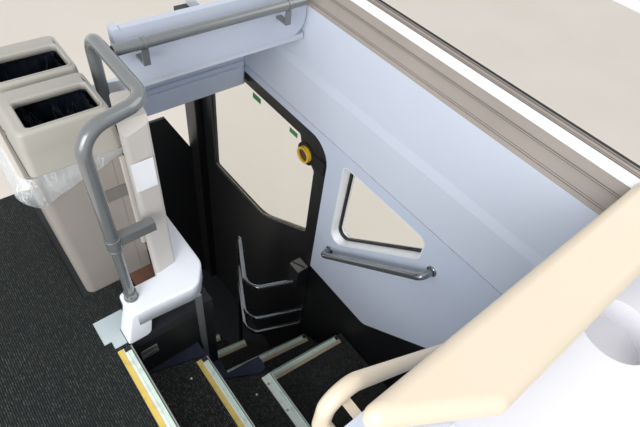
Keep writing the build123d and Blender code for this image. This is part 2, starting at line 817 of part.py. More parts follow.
def build_well_front():
    """The rounded cover of the door's hinge column, and the panel that closes the well ahead of the door."""
    cover = block(*cover_box[0], *cover_box[1], *cover_box[2])
    cover = fillet(cover.edges().filter_by(Axis.Y).group_by(Axis.X)[0], cover_r)
    save("hinge_cover", cover)
    low = -deck_rise
    (x0, z0), (x1, z1) = closing_top
    face = Plane.XZ * plan([(flight_left, low), (skin_x, low), (skin_x, z1), (x1, z1), (x0, z0), (flight_left, z0)])
    panel = extrude(Pos(0, section_front - closing_t, 0) * face, closing_t, dir=(0, 1, 0))
    save("closing_panel", panel - block(lining_x, skin_x, section_front - closing_t - 1, section_front + 1, low, z0))


def bin_cell(i):
    """Front and rear of one bin's cell."""
    y0 = bin_front + i * bin_pitch
    return y0, y0 + bin_pitch


def leaning_block(x0, x1, y0, y1, z0, z1, foot, r):
    """A box whose left side leans out by foot from its base to its top, with rounded left edges."""
    face = Plane.XZ * plan([(x0 + foot, z0), (x1, z0), (x1, z1), (x0, z1)])
    body = extrude(Pos(0, y0, 0) * face, y1 - y0, dir=(0, 1, 0))
    edges = [e for e in body.edges() if abs(e.tangent_at(0).Z) > 0.9 and e.center().X < (x0 + x1) / 2]
    return fillet(edges, r) if r else body


def build_bins():
    y_end = bin_front + 2 * bin_pitch
    body = leaning_block(bin_left, bin_right, bin_front, y_end, 0, bin_h, bin_foot_in, bin_r)
    for i in range(2):
        y0, y1 = bin_cell(i)
        w = bin_wall
        body = body - leaning_block(bin_left + w, bin_right - w, y0 + w, y1 - w, w, bin_h + 0.01, bin_foot_in, cell_r)
    seam = block(bin_seam_x - 1, bin_seam_x + 1, bin_front - 1, bin_front + 1, -1, bin_h + 1)
    save("bin_body", body - seam)
    for i, name in enumerate(("front", "rear")):
        y0, y1 = bin_cell(i)
        build_hood(name, y0, y1)
        build_bag(name, y0, y1)


def hood_block(inset, y0, y1, z0, z1, r, top_r):
    """The hood's outside, or its room inside at an inset: the sides lean in towards the top."""
    w = hood_right - hood_left - 2 * inset
    d = y1 - y0 - 2 * inset
    base = Pos((hood_left + hood_right) / 2, (y0 + y1) / 2, z0) * Rectangle(w, d)
    body = extrude(base, z1 - z0, taper=hood_lean)
    if r:
        body = fillet([e for e in body.edges() if abs(e.tangent_at(0).Z) > 0.5], r)
    return chamfer(body.edges().group_by(Axis.Z)[-1], top_r) if top_r else body


def build_hood(name, y0, y1):
    z0 = bin_h + film_t + 2 * seat_gap
    y0 = y0 - hood_over
    y1 = y1 - hood_over - hood_gap
    w = hood_wall
    hood = hood_block(0, y0, y1, z0, hood_top, hood_r, hood_top_r)
    hood = hood - hood_block(w, y0, y1, z0 - 0.01, hood_top - w, 0, 0)
    hole = Pos(mouth_x, y0 + mouth_y, hood_top - 30) * extrude(RectangleRounded(*mouth, 9), 60)
    save(f"bin_hood_{name}", hood - hole)


def build_bag(name, y0, y1):
    """A film liner in the cell, turned over the rim and hanging down outside it."""
    w = bin_wall + seat_gap
    t = film_t
    rim = bin_h + seat_gap
    inset = w + cell_r
    x0, x1 = bin_left + w, bin_right - w
    bag = leaning_block(x0, x1, y0 + w, y1 - w, w, rim + t, bin_foot_in, cell_r)
    bag = bag + block(bin_left - seat_gap - t, x1, y0 + bin_r, y1 - inset, rim, rim + t)
    bag = bag + block(bin_left - seat_gap - t, bin_left - seat_gap, y0 + bin_r, y1 - inset, rim - film_drop, rim + t)
    if name == "front":
        bag = bag + block(bin_left + bin_r, bin_right - 50, y0 - seat_gap - t, y0 + w, rim, rim + t)
        bag = bag + block(bin_left + bin_r, bin_right - 50, y0 - seat_gap - t, y0 - seat_gap,
                          rim - film_drop, rim + t)
    room = leaning_block(x0 + t, x1 - t, y0 + w + t, y1 - w - t, w + t, rim + t + 1, bin_foot_in, 0)
    save(f"bin_bag_{name}", bag - room)


def build_column():
    """The wedge-shaped column between the bins and the well, the straps beside it and the bare floor at its foot."""
    corners = [(x, y, column_r) for x, y in column_front + column_back]
    box = extrude(Pos(0, 0, plinth_z) * rounded_plan(corners), column_top - plinth_z)
    y, z = column_front[0][1] - 1, column_top + 1
    scoop = slab(side([(y, z - scoop_h), (y, z), (y + scoop_d, z)]), column_front[0][0] - 1, column_back[0][0] + 1)
    save("bin_column", box - scoop)
    save("floor_patch", block(patch_left, bin_right, patch_front, bin_front - 1, 0, patch_t))
    straps = [block(patch_left, bin_right, bin_front - strap_t, bin_front, low, high) for low, high in strap_z]
    save("bin_straps", Compound(children=straps))


os.makedirs("parts", exist_ok=True)
build_steps()
build_cheeks()
build_floors()
build_well_panels()
build_linings()
build_sill()
build_skin()
build_door()
build_valve()
build_quarter_window()
build_wall_handle()
build_rear_partition()
build_partition_rail()
build_front()
build_plinth()
build_poles()
build_well_front()
build_bins()
build_column()
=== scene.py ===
"""Stairwell section of a double-decker coach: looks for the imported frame, and the photograph's view of it."""
import math

import bmesh
import bpy
from mathutils import Matrix, Vector, noise


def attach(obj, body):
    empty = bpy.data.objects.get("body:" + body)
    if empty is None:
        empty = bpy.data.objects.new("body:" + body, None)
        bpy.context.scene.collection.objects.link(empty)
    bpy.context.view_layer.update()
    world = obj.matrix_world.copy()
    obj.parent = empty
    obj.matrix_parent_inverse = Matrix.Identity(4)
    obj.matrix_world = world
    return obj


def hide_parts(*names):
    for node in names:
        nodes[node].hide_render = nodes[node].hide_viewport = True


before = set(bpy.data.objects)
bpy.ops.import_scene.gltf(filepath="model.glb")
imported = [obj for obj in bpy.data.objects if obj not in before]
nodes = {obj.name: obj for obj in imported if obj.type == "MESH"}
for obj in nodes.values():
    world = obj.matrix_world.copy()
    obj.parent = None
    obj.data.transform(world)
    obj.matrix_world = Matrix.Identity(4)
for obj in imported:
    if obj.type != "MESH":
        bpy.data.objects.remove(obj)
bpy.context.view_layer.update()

# The frame's origin in the CAD's mm, whose z is 0 on the upper floor's top.
ORIGIN_X, ORIGIN_Y, ORIGIN_Z = 349, 948, -1920
RISER = 235


def at(x, y, z):
    """A point given in mm from the coach's centreline and the upper floor's top, in the frame's metres."""
    return Vector(((x - ORIGIN_X) / 1000, (y - ORIGIN_Y) / 1000, (z - ORIGIN_Z) / 1000))


def plan_mm(vert):
    """A vertex's x and y in mm, as at() takes them."""
    return vert.co.x * 1000 + ORIGIN_X, vert.co.y * 1000 + ORIGIN_Y


# ---------------------------------------------------------------- shader helpers

def tint(code, alpha=1.0):
    """An sRGB hex colour as linear values."""
    parts = [int(code[i:i + 2], 16) / 255 for i in (0, 2, 4)]
    line = [c / 12.92 if c <= 0.04045 else ((c + 0.055) / 1.055) ** 2.4 for c in parts]
    return (*line, alpha)


def add(tree, kind, settings, links=None):
    """One shader node with its attributes or socket values, and what feeds its sockets."""
    made = tree.nodes.new(kind)
    for key, value in settings.items():
        if isinstance(key, str) and hasattr(made, key):
            setattr(made, key, value)
        else:
            made.inputs[key].default_value = value
    for key, source in (links or {}).items():
        tree.links.new(source, made.inputs[key])
    return made


def start(name):
    """An empty material with its tree and the object coordinates in metres."""
    made = bpy.data.materials.new(name)
    made.use_nodes = True
    tree = made.node_tree
    tree.nodes.clear()
    return made, tree, add(tree, "ShaderNodeTexCoord", {}).outputs["Object"]


def close(tree, shader):
    """A shader as the material's surface."""
    add(tree, "ShaderNodeOutputMaterial", {}, {"Surface": shader.outputs[0]})


def grained(name, light, dark, patch_mm, grain_mm, grain_h, rough, spread=0.12, metal=0.0, **more):
    """A coated, moulded or painted face: slow change of tone, fine grain in its bump, uneven gloss."""
    made, tree, place = start(name)
    slow = add(tree, "ShaderNodeTexNoise", {"Scale": 1000 / patch_mm, "Detail": 3.0, "Roughness": 0.55},
               {"Vector": place})
    tone = add(tree, "ShaderNodeMix", {"data_type": "RGBA", 6: tint(light), 7: tint(dark)},
               {0: slow.outputs["Fac"]})
    fine = add(tree, "ShaderNodeTexNoise", {"Scale": 1000 / grain_mm, "Detail": 2.0}, {"Vector": place})
    bump = add(tree, "ShaderNodeBump", {"Distance": grain_h / 1000, "Strength": 1.0},
               {"Height": fine.outputs["Fac"]})
    gloss = add(tree, "ShaderNodeMapRange", {"To Min": rough - spread / 2, "To Max": rough + spread / 2},
                {"Value": slow.outputs["Fac"]})
    close(tree, add(tree, "ShaderNodeBsdfPrincipled", {"Metallic": metal, **more},
                    {"Base Color": tone.outputs[2], "Roughness": gloss.outputs[0], "Normal": bump.outputs[0]}))
    return made


# ---------------------------------------------------------------- materials

def ribbed_felt(name, groove, rib, fleck, pitch_mm):
    """Ribbed needle-felt carpet: raised rows of looped fibre along Y, flecked with paler fibre on the ribs."""
    made, tree, place = start(name)
    rows = add(tree, "ShaderNodeTexWave", {"wave_type": "BANDS", "bands_direction": "X", "wave_profile": "SIN",
                                           "Scale": 1000 / pitch_mm * math.pi / 10, "Distortion": 0.25, "Detail": 1.0,
                                           "Detail Scale": 30.0}, {"Vector": place})
    squeeze = add(tree, "ShaderNodeMapping", {"Scale": (260.0, 120.0, 260.0)}, {"Vector": place})
    fibre = add(tree, "ShaderNodeTexNoise", {"Scale": 1.0, "Detail": 3.0, "Roughness": 0.7},
                {"Vector": squeeze.outputs[0]})
    body = add(tree, "ShaderNodeMix", {"data_type": "RGBA", 6: tint(groove), 7: tint(rib)},
               {0: rows.outputs["Fac"]})
    flecks = add(tree, "ShaderNodeMapRange", {"From Min": 0.5, "From Max": 0.64, "To Min": 0.0, "To Max": 1.0},
                 {"Value": fibre.outputs["Fac"]})
    on_rib = add(tree, "ShaderNodeMath", {"operation": "MULTIPLY"},
                 {0: flecks.outputs[0], 1: rows.outputs["Fac"]})
    tone = add(tree, "ShaderNodeMix", {"data_type": "RGBA", 7: tint(fleck)},
               {0: on_rib.outputs[0], 6: body.outputs[2]})
    height = add(tree, "ShaderNodeMath", {"operation": "MULTIPLY_ADD", 1: 0.5},
                 {0: fibre.outputs["Fac"], 2: rows.outputs["Fac"]})
    bump = add(tree, "ShaderNodeBump", {"Distance": 0.0018, "Strength": 1.0}, {"Height": height.outputs[0]})
    close(tree, add(tree, "ShaderNodeBsdfPrincipled",
                    {"Roughness": 0.95, "Sheen Weight": 0.12, "Sheen Roughness": 0.6, "Specular IOR Level": 0.15},
                    {"Base Color": tone.outputs[2], "Normal": bump.outputs[0]}))
    return made


def drawn_metal(name, light, dark, axis, rough):
    """Drawn metal: fine scratches along its length."""
    made, tree, place = start(name)
    scale = [900.0, 900.0, 900.0]
    scale["XYZ".index(axis)] = 12.0
    pull = add(tree, "ShaderNodeMapping", {"Scale": tuple(scale)}, {"Vector": place})
    lines = add(tree, "ShaderNodeTexNoise", {"Scale": 1.0, "Detail": 2.0}, {"Vector": pull.outputs[0]})
    tone = add(tree, "ShaderNodeMix", {"data_type": "RGBA", 6: tint(light), 7: tint(dark)},
               {0: lines.outputs["Fac"]})
    gloss = add(tree, "ShaderNodeMapRange", {"To Min": rough - 0.08, "To Max": rough + 0.08},
                {"Value": lines.outputs["Fac"]})
    bump = add(tree, "ShaderNodeBump", {"Distance": 0.00004, "Strength": 1.0}, {"Height": lines.outputs["Fac"]})
    close(tree, add(tree, "ShaderNodeBsdfPrincipled", {"Metallic": 0.85},
                    {"Base Color": tone.outputs[2], "Roughness": gloss.outputs[0], "Normal": bump.outputs[0]}))
    return made


def insert_strip(name, rows, rough, grit_mm, grit_h):
    """Gritted plastic insert. Each step has its own colour, so the colour changes with height."""
    made, tree, place = start(name)
    height = add(tree, "ShaderNodeSeparateXYZ", {}, {0: place})
    level = add(tree, "ShaderNodeMapRange", {"From Min": 0.0, "From Max": 2.0}, {"Value": height.outputs["Z"]})
    ramp = add(tree, "ShaderNodeValToRGB", {}, {0: level.outputs[0]})
    ramp.color_ramp.interpolation = "CONSTANT"
    for i, (z, code) in enumerate(rows):
        stop = ramp.color_ramp.elements[i] if i < 2 else ramp.color_ramp.elements.new(z / 2)
        stop.position = z / 2
        stop.color = tint(code)
    worn = add(tree, "ShaderNodeTexNoise", {"Scale": 45.0, "Detail": 4.0}, {"Vector": place})
    dirt = add(tree, "ShaderNodeMapRange", {"From Min": 0.5, "From Max": 0.8, "To Min": 0.0, "To Max": 0.35},
               {"Value": worn.outputs["Fac"]})
    tone = add(tree, "ShaderNodeMix", {"data_type": "RGBA", 7: tint("6f6a5e")},
               {0: dirt.outputs[0], 6: ramp.outputs[0]})
    grit = add(tree, "ShaderNodeTexVoronoi", {"Scale": 1000 / grit_mm}, {"Vector": place})
    bump = add(tree, "ShaderNodeBump", {"Distance": grit_h / 1000, "Strength": 1.0, "invert": True},
               {"Height": grit.outputs["Distance"]})
    close(tree, add(tree, "ShaderNodeBsdfPrincipled", {"Roughness": rough},
                    {"Base Color": tone.outputs[2], "Normal": bump.outputs[0]}))
    return made


def clear_glass(name, code, rough):
    """Toughened safety glass, lightly tinted, with a faint film of dust."""
    made, tree, place = start(name)
    dust = add(tree, "ShaderNodeTexNoise", {"Scale": 9.0, "Detail": 5.0}, {"Vector": place})
    gloss = add(tree, "ShaderNodeMapRange", {"From Min": 0.45, "From Max": 0.8, "To Min": 0.02, "To Max": rough},
                {"Value": dust.outputs["Fac"]})
    close(tree, add(tree, "ShaderNodeBsdfPrincipled",
                    {"Base Color": tint(code), "Transmission Weight": 1.0, "IOR": 1.05},
                    {"Roughness": gloss.outputs[0]}))
    return made


def thin_film(name, code, fold_code, alpha, fold_alpha, fold_mm):
    """Blown polythene film: see-through, with a milky haze and fine pale creases that follow its fall. Given a
    near-black colour, the film is painted shade and its pale creases are painted glints.
    """
    made, tree, place = start(name)
    lean = add(tree, "ShaderNodeMapping", {"Rotation": (0.5, 0.35, 0.0), "Scale": (1.0, 1.0, 0.16)},
               {"Vector": place})
    folds = add(tree, "ShaderNodeTexNoise", {"Scale": 1000 / fold_mm, "Detail": 4.0, "Roughness": 0.6,
                                             "Distortion": 0.2}, {"Vector": lean.outputs[0]})
    haze = add(tree, "ShaderNodeTexNoise", {"Scale": 400 / fold_mm, "Detail": 2.0}, {"Vector": place})
    ridge = add(tree, "ShaderNodeMath", {"operation": "SUBTRACT", 1: 0.5}, {0: folds.outputs["Fac"]})
    away = add(tree, "ShaderNodeMath", {"operation": "ABSOLUTE"}, {0: ridge.outputs[0]})
    crease = add(tree, "ShaderNodeMapRange", {"From Min": 0.0, "From Max": 0.022, "To Min": 0.8, "To Max": 0.0},
                 {"Value": away.outputs[0]})
    milk = add(tree, "ShaderNodeMapRange", {"From Min": 0.35, "From Max": 0.7, "To Min": 0.0, "To Max": 0.5},
               {"Value": haze.outputs["Fac"]})
    pale = add(tree, "ShaderNodeMath", {"operation": "MAXIMUM"}, {0: crease.outputs[0], 1: milk.outputs[0]})
    cover = add(tree, "ShaderNodeMapRange", {"To Min": alpha, "To Max": fold_alpha}, {"Value": pale.outputs[0]})
    tone = add(tree, "ShaderNodeMix", {"data_type": "RGBA", 6: tint(code), 7: tint(fold_code)},
               {0: pale.outputs[0]})
    bump = add(tree, "ShaderNodeBump", {"Distance": 0.003, "Strength": 0.8}, {"Height": folds.outputs["Fac"]})
    close(tree, add(tree, "ShaderNodeBsdfPrincipled", {"Roughness": 0.12, "Specular IOR Level": 0.8},
                    {"Base Color": tone.outputs[2], "Alpha": cover.outputs[0], "Normal": bump.outputs[0]}))
    return made


FELT_STAIR = ribbed_felt("ribbed needle-felt carpet", "0b0c0c", "222423", "66675e", 6)
FELT_DECK = ribbed_felt("ribbed needle-felt carpet, deck", "050707", "1a2021", "4d534c", 6)
# Glass-fibre laminate lining: an even satin skin with faint orange peel.
LINING = grained("satin laminate lining", "d3dcea", "c8d2e2", 420, 1.6, 0.03, 0.42)
LINING_TOP = grained("satin laminate lining, upper", "d8dfea", "ced6e3", 380, 1.6, 0.03, 0.40)
# Painted and moulded ABS, each with a gloss that varies slowly across its face.
SILL = grained("grained ABS sill", "a89f96", "958c84", 160, 0.9, 0.05, 0.55)
SILL_WHITE = grained("gloss ABS strip", "f4f5f6", "e6e9ec", 260, 2.5, 0.01, 0.22, 0.06)
SILL_LINE = grained("shadowed sill groove", "5e574f", "4a443e", 160, 0.9, 0.05, 0.6)
RUBBER = grained("EPDM rubber seal", "262628", "19191b", 60, 0.8, 0.04, 0.62)
SKIN = grained("gloss coach paint", "d9dde1", "cfd4da", 500, 1.2, 0.02, 0.2, 0.06, **{"Coat Weight": 0.5})
DOOR_DARK = grained("satin black paint", "17181b", "101114", 200, 1.0, 0.02, 0.42)
RING = grained("gloss yellow ABS", "e6c02c", "d8ae22", 60, 1.5, 0.02, 0.25, 0.08)
VALVE = grained("phenolic moulding", "5f4334", "4a3328", 30, 0.8, 0.05, 0.5)
BLACK = grained("grained black polypropylene", "1b1c1f", "121315", 90, 0.7, 0.06, 0.6)
FLANGE = grained("white satin enamel", "f6f8fa", "eceff3", 150, 1.4, 0.02, 0.35)
PARTITION = grained("satin laminate partition", "c6cdda", "bcc4d2", 340, 1.4, 0.03, 0.45)
CREAM = grained("cream ABS moulding", "e2d5c0", "dacab1", 220, 1.8, 0.02, 0.36)
TRAY = grained("white thermoformed ABS", "eeedf0", "e4e3e6", 180, 1.2, 0.03, 0.4)
RAIL = grained("gloss grey enamel on steel tube", "787b7c", "6b6e6f", 90, 1.1, 0.015, 0.24, 0.1, 0.25,
               **{"Coat Weight": 0.7, "Coat Roughness": 0.09})
HANDLE = grained("gloss grey handle tube", "8a8e91", "7b7f82", 60, 1.1, 0.015, 0.2, 0.08, 0.65,
                 **{"Coat Weight": 0.7, "Coat Roughness": 0.08})
TRIM = drawn_metal("satin pane trim", "c9c3b6", "aca698", "Y", 0.35)
CHROME = drawn_metal("polished steel tube", "7f8386", "6a6e71", "Z", 0.12)
BEAM = grained("blue-grey satin moulding", "dae2f0", "d0d9e8", 260, 1.3, 0.03, 0.4)
SOFFIT = grained("grey satin laminate", "ced3dc", "c3c9d3", 300, 1.4, 0.03, 0.5)
MOULDING = grained("white gel-coat moulding", "f1f4f9", "e8edf4", 240, 2.2, 0.02, 0.3)
BIN = grained("grained beige polypropylene", "9c968f", "8f8982", 150, 0.8, 0.06, 0.5)
HOOD = grained("grained beige ABS hood", "b1aea5", "a6a39a", 150, 0.8, 0.05, 0.45)
COLUMN = grained("grained stone-grey ABS", "cbc6c0", "c0bbb5", 170, 0.8, 0.05, 0.48)
STRAP = grained("grey moulded strap", "7d7974", "6c6964", 60, 0.8, 0.05, 0.55)
BOARD = grained("phenolic-faced floor ply", "74503e", "5c3e30", 25, 1.2, 0.08, 0.6)
CHEEK = grained("navy needle-felt facing", "20263a", "171b2a", 20, 1.2, 0.5, 0.9)
PANEL = grained("black grained laminate", "15171a", "0e0f11", 180, 0.8, 0.05, 0.5)
STEP_BOARD = grained("coated step board", "1f2126", "17191d", 120, 1.2, 0.06, 0.6)
VINYL = grained("dark vinyl floor", "26282c", "1c1e21", 80, 1.5, 0.08, 0.55)
FRAME = grained("satin grey steel paint", "484a4e", "3a3c40", 120, 1.1, 0.03, 0.45, 0.1, 0.3)
POST = drawn_metal("anodised aluminium post", "c0c2c2", "a2a5a6", "Z", 0.38)
NOSING = drawn_metal("worn aluminium nosing", "b4b5b2", "8c8d8a", "Y", 0.42)
PLATE = grained("pale anodised plate", "cfdcdf", "bfced2", 90, 1.2, 0.02, 0.32, 0.1, 0.25)
INSERT = insert_strip("gritted anti-slip insert", [(0.0, "b9a587"), (1.3, "dfe6dc"), (1.55, "dcc05e")], 0.7, 2.0, 0.25)
BRIGHT = insert_strip("afterglow line", [(0.0, "6fc98f"), (1.3, "a5e6c2")], 0.6, 2.4, 0.08)
GLOW = insert_strip("afterglow insert", [(0.0, "cfe6d6"), (1.3, "cfe6d6")], 0.6, 2.4, 0.12)
PALE = insert_strip("pale ribbed insert", [(0.0, "c9d6c8"), (1.3, "e3e6e0")], 0.6, 2.4, 0.12)
GLASS = clear_glass("toughened glass", "f7f7f4", 0.12)
FILM = thin_film("polythene liner", "dde3e3", "f4f6f6", 0.3, 0.8, 30)
# Film painted near-black as the shade inside the bins and hoods; its paler creases are painted glints.
SHADE_PAINTED_FILM = thin_film("polythene film painted dark as shade, with painted glints", "161c24", "4a5662", 0.97, 1.0, 46)
LABEL = grained("white vinyl label", "f1f2f4", "e6e8ec", 60, 2.0, 0.01, 0.35)
GREEN = grained("green vinyl label", "3f9a5c", "358a50", 60, 2.0, 0.01, 0.35)
SCREW = drawn_metal("zinc-plated screw", "8e9092", "6c6e70", "Z", 0.35)
RIVET = grained("white nylon rivet", "e9e9e4", "d8d8d2", 20, 1.5, 0.02, 0.35)

FINISHES = {
    "lower_floor": VINYL, "upper_floor": STEP_BOARD, "upper_carpet": FELT_DECK, "tread_carpets": FELT_STAIR,
    "floor_beams": FRAME, "floor_plate": PLATE, "upper_flight": STEP_BOARD, "lower_flight": STEP_BOARD,
    "nosing_profiles": NOSING, "nosing_yellow_strips": INSERT, "nosing_glow_strips": GLOW,
    "stair_cheeks": CHEEK, "well_side_panel": PANEL, "stair_end_panel": PANEL, "flight_side_panel": PANEL,
    "corner_post": POST, "side_lining_lower": LINING, "side_lining_upper": LINING_TOP,
    "lower_side_panel": PANEL, "window_sill": SILL, "sill_white_strip": SILL_WHITE, "window_seal": RUBBER,
    "body_skin": SKIN, "door_frame": DOOR_DARK, "hinge_cover": BLACK, "closing_panel": PANEL,
    "door_leaf": DOOR_DARK, "door_glass": GLASS, "door_seal": RUBBER,
    "door_guard_rail": CHROME, "valve_bracket": BLACK, "valve_ring": RING, "valve_body": VALVE,
    "quarter_window_frame": FLANGE, "quarter_window_seal": RUBBER, "quarter_window_glass": GLASS,
    "wall_grab_handle": HANDLE, "rear_partition": PARTITION, "partition_cap": CREAM, "rear_tray": TRAY,
    "partition_grab_rail": CREAM, "front_partition": PARTITION, "headroom_soffit": SOFFIT, "front_beam": BEAM,
    "headroom_cheek": PARTITION, "corner_moulding": MOULDING, "loop_rail": RAIL, "pole_lower_part": RAIL,
    "partition_rail": RAIL, "bin_body": BIN, "bin_hood_front": HOOD, "bin_hood_rear": HOOD,
    "bin_bag_front": FILM, "bin_bag_rear": FILM, "bin_column": COLUMN, "bin_straps": STRAP, "floor_patch": BOARD,
}
for name, cad in nodes.items():
    cad.data.materials.clear()
    cad.data.materials.append(FINISHES.get(name, PARTITION))


# ---------------------------------------------------------------- new pieces

def linked(name, data):
    """A new object in the scene."""
    made = bpy.data.objects.new(name, data)
    bpy.context.scene.collection.objects.link(made)
    return made


def keep(bm, name, material, body="section", smooth=False):
    """A finished bmesh as a piece that rides on a body."""
    mesh = bpy.data.meshes.new(name)
    bm.to_mesh(mesh)
    bm.free()
    piece = linked(name, mesh)
    mesh.materials.append(material)
    for face in mesh.polygons:
        face.use_smooth = smooth
    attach(piece, body)
    return piece


def only(geometry, kind):
    """The vertices, edges or faces among what an operator made."""
    return [g for g in geometry if isinstance(g, kind)]


def edges_of(verts):
    """The edges at some vertices, each once."""
    return list(dict.fromkeys(e for v in verts for e in v.link_edges))


def soften(bm, edges, offset, segments=2, **more):
    """Edges rounded by offset mm."""
    bmesh.ops.bevel(bm, geom=edges, offset=offset / 1000, affect="EDGES", segments=segments, profile=0.5,
                    material=-1, **more)


def block(bm, middle, turn, size):
    """A box about a point of the frame, turned by a matrix, its size in metres."""
    place = Matrix.Translation(middle) @ turn @ Matrix.Diagonal((*size, 1.0))
    return bmesh.ops.create_cube(bm, size=1.0, matrix=place)["verts"]


def bar(bm, low, high, edge=0.0, turn=Matrix()):
    """A box between two mm corners, its edges rounded by edge mm; turn is a matrix about its middle."""
    a, b = at(*low), at(*high)
    verts = block(bm, (a + b) / 2, turn, b - a)
    if edge:
        soften(bm, edges_of(verts), edge)


def disc(bm, centre, normal, radius, depth, edge=0.0, count=32):
    """A round plate or stud that stands out from centre along normal, mm."""
    turn = Vector(normal).to_track_quat("Z", "Y").to_matrix().to_4x4()
    place = Matrix.Translation(at(*centre)) @ turn @ Matrix.Translation((0, 0, depth / 2000))
    made = bmesh.ops.create_cone(bm, cap_ends=True, segments=count, radius1=radius / 1000, radius2=radius / 1000,
                                 depth=depth / 1000, matrix=place)
    if edge:
        front = [e for e in edges_of(made["verts"]) if all(
            (v.co - at(*centre)).dot(Vector(normal).normalized()) > depth / 1500 for v in e.verts)]
        soften(bm, front, edge, 3)


# Step edges in mm. The upper flight's run along Y to the cheeks. Each row of the lower flight is its edge's y at
# the left panel, and the x and y of its right end.
FIRST_X, TREAD, UPPER_START_Y = 82, 208, 90
CHEEK_Y = [773, 714, 611]
FLIGHT_LEFT, LOWER_START_X, TURN_START_X = 362, 374, 502
LOWER = [(703, 926, 650), (906, 893, 827), (1137, 684, 1081), (1378, 640, 1298), (1610, 610, 1512)]


def lower_y(row, x):
    """Where a lower step's edge is at x."""
    return row[0] + (row[2] - row[0]) * (x - FLIGHT_LEFT) / (row[1] - FLIGHT_LEFT)


def nosing_lines():
    """Each step edge as (start, end, level, side of the tread, direction)."""
    rows = [((FIRST_X + TREAD * i, UPPER_START_Y), (FIRST_X + TREAD * i, y - 2), i, 1)
            for i, y in enumerate(CHEEK_Y)]
    for i, row in enumerate(LOWER):
        left = LOWER_START_X if i else TURN_START_X
        rows.append(((left, lower_y(row, left)), (row[1] - 4, lower_y(row, row[1] - 4)), len(CHEEK_Y) + i, -1))
    return [(a, b, level, side, math.atan2(b[1] - a[1], b[0] - a[0])) for a, b, level, side in rows]


def nosing_strip(name, near, far, low, high, material):
    """A strip along every step edge, from near to far mm behind it."""
    bm = bmesh.new()
    for a, b, level, side, turn in nosing_lines():
        length = math.hypot(b[0] - a[0], b[1] - a[1])
        back = side * (near + far) / 2
        middle = at((a[0] + b[0]) / 2 - math.sin(turn) * back, (a[1] + b[1]) / 2 + math.cos(turn) * back,
                    (low + high) / 2 - level * RISER)
        block(bm, middle, Matrix.Rotation(turn, 4, "Z"), (length / 1000, (far - near) / 1000, (high - low) / 1000))
    soften(bm, [e for e in bm.edges if e.calc_length() > 0.05], 0.5)
    keep(bm, name, material)


nosing_strip("nosing_white_inserts", 15.6, 24.4, 3, 4.3, PALE)
nosing_strip("nosing_black_lines", 1.6, 3.4, 3, 4.2, BLACK)
nosing_strip("nosing_green_lines", 4.4, 8.2, 3, 4.25, BRIGHT)

CAPPED_LEVELS, CAP_IN, CAP_BACK = (0, 1, 3, 4), 8, 12
bm = bmesh.new()
for a, b, level, side, turn in nosing_lines():
    if level in CAPPED_LEVELS:
        middle = at(b[0] - CAP_IN * math.cos(turn) - side * CAP_BACK * math.sin(turn),
                    b[1] - CAP_IN * math.sin(turn) + side * CAP_BACK * math.cos(turn), 5.0 - level * RISER)
        block(bm, middle, Matrix.Rotation(turn, 4, "Z"), (0.015, 0.02, 0.0016))
soften(bm, bm.edges[:], 0.6)
keep(bm, "nosing_end_caps", BLACK)

bm = bmesh.new()
for low, high in ((-96, -76), (-124, -104)):
    bar(bm, (100, 769.0, low), (156, 773.4, high), 3.5)
keep(bm, "well_vent_frames", STRAP)

# Pale trim along the door pane's lower edge, in two straight lengths on the inner face.
TRIM_X, TRIM_UP = 1000.6, 6
bm = bmesh.new()
for (y0, z0), (y1, z1) in (((1866, -599), (1396, -584)), ((1386, -581), (1046, -362))):
    turn = Matrix.Rotation(math.atan2(z1 - z0, y1 - y0), 4, "X")
    middle = at(TRIM_X, (y0 + y1) / 2, (z0 + z1) / 2 + TRIM_UP)
    block(bm, middle, turn, (0.002, math.hypot(y1 - y0, z1 - z0) / 1000, 0.009))
soften(bm, bm.edges[:], 0.6)
keep(bm, "pane_trim", TRIM)

bm = bmesh.new()
for z in (-92, -86.5, -81, -120, -114.5, -109):
    bar(bm, (105, 768.4, z), (151, 770.0, z + 2.6), 0.6)
keep(bm, "well_vent_slots", BLACK)

# A grey lid on the black hinge cover: its pale top is a painted reflection.
bm = bmesh.new()
bar(bm, (887, 937, -493), (947, 1003, -488.5), 4)
keep(bm, "hinge_top_painted_reflection", STRAP)
bm = bmesh.new()
bar(bm, (912, 938, -490), (920, 1002, -487), 1, Matrix.Rotation(0.45, 4, "Z"))
keep(bm, "cover_lid_joint", BLACK)

# Lines along the sill: each at a share of the way up its sloping face, with its width and half its thickness.
SILL_FOOT_X, SILL_FOOT_Z, SILL_MIDDLE_Y = 957, 702, 683
SILL_FACE, SILL_RISE, SILL_LENGTH = 126.2, math.atan2(107, 67), 1.751
bm = bmesh.new()
for share, wide, half in ((0.10, 1.3, 0.5), (0.14, 0.9, 0.5), (0.405, 1.0, 4.5), (0.435, 1.0, 4.5),
                          (0.845, 1.2, 0.5), (0.872, 1.0, 0.5), (0.935, 1.4, 0.6)):
    along = share * SILL_FACE
    middle = at(SILL_FOOT_X + along * math.cos(SILL_RISE), SILL_MIDDLE_Y, SILL_FOOT_Z + along * math.sin(SILL_RISE))
    block(bm, middle, Matrix.Rotation(-SILL_RISE, 4, "Y"), (wide / 1000, SILL_LENGTH, half / 500))
keep(bm, "sill_lines", SILL_LINE)

bm = bmesh.new()
bar(bm, (250, 993.5, 141.2), (263, 1005.8, 506), 2)
keep(bm, "column_edge_strip", COLUMN)

POLE_X, POLE_Y = 139, 833
bm = bmesh.new()
for z, radius, depth in ((141, 20.5, 5), (376, 20.0, 4), (414, 20.6, 5)):
    disc(bm, (POLE_X, POLE_Y, z), (0, 0, 1), radius, depth, 1.2, 40)
keep(bm, "pole_collars", RAIL)

bm = bmesh.new()
bar(bm, (234, 861.6, 503), (290, 863.0, 596), 0.4)
keep(bm, "column_label", LABEL)

bm = bmesh.new()
for y0, y1, z0, z1 in ((1438, 1500, 106, 134), (1172, 1226, 108, 132)):
    bar(bm, (1001.2, y0, z0), (1001.9, y1, z1), 0.2)
keep(bm, "glass_labels", GREEN)

